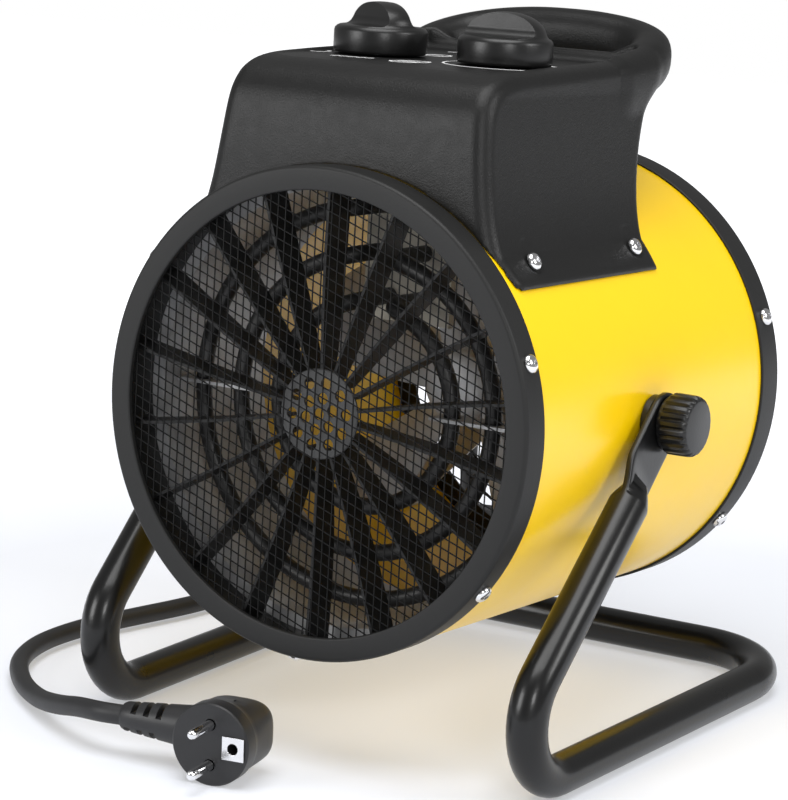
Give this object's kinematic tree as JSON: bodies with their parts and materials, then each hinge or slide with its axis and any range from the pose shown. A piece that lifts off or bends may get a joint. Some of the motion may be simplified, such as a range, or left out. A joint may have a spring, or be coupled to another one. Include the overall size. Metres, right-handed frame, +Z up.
{
  "type": "forced air heater",
  "caption": "Portable electric fan heater: a round steel drum with a guarded outlet, a control cover with knobs and a carry handle, clamped in a bent tube stand.",
  "frame": {"origin": "centre of the bounding box's underside, at the floor, measured without the free cord and its plug", "axes": "+Z up, the warm air leaves towards -Y, and +X is the heater's right hand side seen from its front"},
  "size_m": [0.3458, 0.5036, 0.3448],
  "materials": {
    "yellow": "satin yellow enamel",
    "cover_plastic": "fine grained dark grey moulding",
    "bezel_paint": "matt dark grey powder coat",
    "stand_paint": "semi gloss black powder coat",
    "steel": "plain steel",
    "black_steel": "black coated steel",
    "sheath": "heat tinted sheath",
    "shield": "bright sheet",
    "rubber": "matt black rubber",
    "ceramic": "pale insulator",
    "chrome": "bright plated",
    "knob_plastic": "satin black moulding",
    "fan_metal": "dull sheet"
  },
  "bodies": {
    "stand": {"stand_tube": "stand_paint", "cord_drop": "rubber", "cord_coil": "rubber", "cord_tie": "knob_plastic", "cord_run": "rubber", "plug_body": "rubber", "plug_pin_1": "chrome", "plug_pin_2": "chrome", "plug_earth_clip": "chrome"},
    "drum": {"drum_shell": "yellow", "front_bezel": "bezel_paint", "rear_bezel": "bezel_paint", "front_mesh": "black_steel", "rear_grille": "black_steel", "vane_guard": "black_steel", "heat_shield": "shield", "heating_element_outer": "sheath", "heating_element_middle": "sheath", "heating_element_inner": "sheath", "element_strap_right": "shield", "element_strap_left": "shield", "element_board": "ceramic", "thermal_cutout": "ceramic", "motor_can": "steel", "motor_bracket": "shield", "control_cover": "cover_plastic", "rotary_switch": "ceramic", "thermostat_body": "steel", "thermostat_bulb": "steel", "terminal_block": "ceramic", "cable_gland": "rubber", "pivot_boss_right": "knob_plastic", "pivot_boss_left": "knob_plastic", "front_screw_1": "chrome", "front_screw_2": "chrome", "front_screw_3": "chrome", "front_screw_4": "chrome", "front_screw_5": "chrome", "rear_screw_1": "chrome", "rear_screw_2": "chrome", "rear_screw_3": "chrome", "rear_screw_4": "chrome", "rear_screw_5": "chrome", "cover_screw_1": "chrome", "cover_screw_2": "chrome", "cover_screw_3": "chrome", "cover_screw_4": "chrome"},
    "fan": {"fan_blades": "fan_metal", "motor_shaft": "steel"},
    "mode_control": {"mode_knob": "knob_plastic", "mode_spindle": "steel"},
    "thermostat_control": {"thermostat_knob": "knob_plastic", "thermostat_spindle": "steel"},
    "clamp_right": {"clamp_knob_right": "knob_plastic", "clamp_stud_right": "steel"},
    "clamp_left": {"clamp_knob_left": "knob_plastic", "clamp_stud_left": "steel"}
  },
  "joints": [
    {"name": "tilt", "type": "hinge", "parent": "stand", "child": "drum", "pos_m": [0, -0.01627, 0.159], "axis": [1, 0, 0], "range_deg": [-18, 25], "deforming": ["cord_drop"]},
    {"name": "fan_spin", "type": "hinge", "parent": "drum", "child": "fan", "pos_m": [0, 0.00211, 0.15823], "axis": [0, 0.9991, -0.0419], "continuous": true},
    {"name": "mode_turn", "type": "hinge", "parent": "drum", "child": "mode_control", "pos_m": [-0.0345, -0.03235, 0.31981], "axis": [0, -0.0419, -0.9991], "range_deg": [0, 135]},
    {"name": "thermostat_turn", "type": "hinge", "parent": "drum", "child": "thermostat_control", "pos_m": [0.0345, -0.03235, 0.31981], "axis": [0, -0.0419, -0.9991], "range_deg": [0, 270]},
    {"name": "clamp_turn_right", "type": "hinge", "parent": "drum", "child": "clamp_right", "pos_m": [0.1295, -0.01627, 0.159], "axis": [1, 0, 0], "range_deg": [0, 360]},
    {"name": "clamp_turn_left", "type": "hinge", "parent": "drum", "child": "clamp_left", "pos_m": [-0.1295, -0.01627, 0.159], "axis": [-1, 0, 0], "range_deg": [0, 360]}
  ]
}
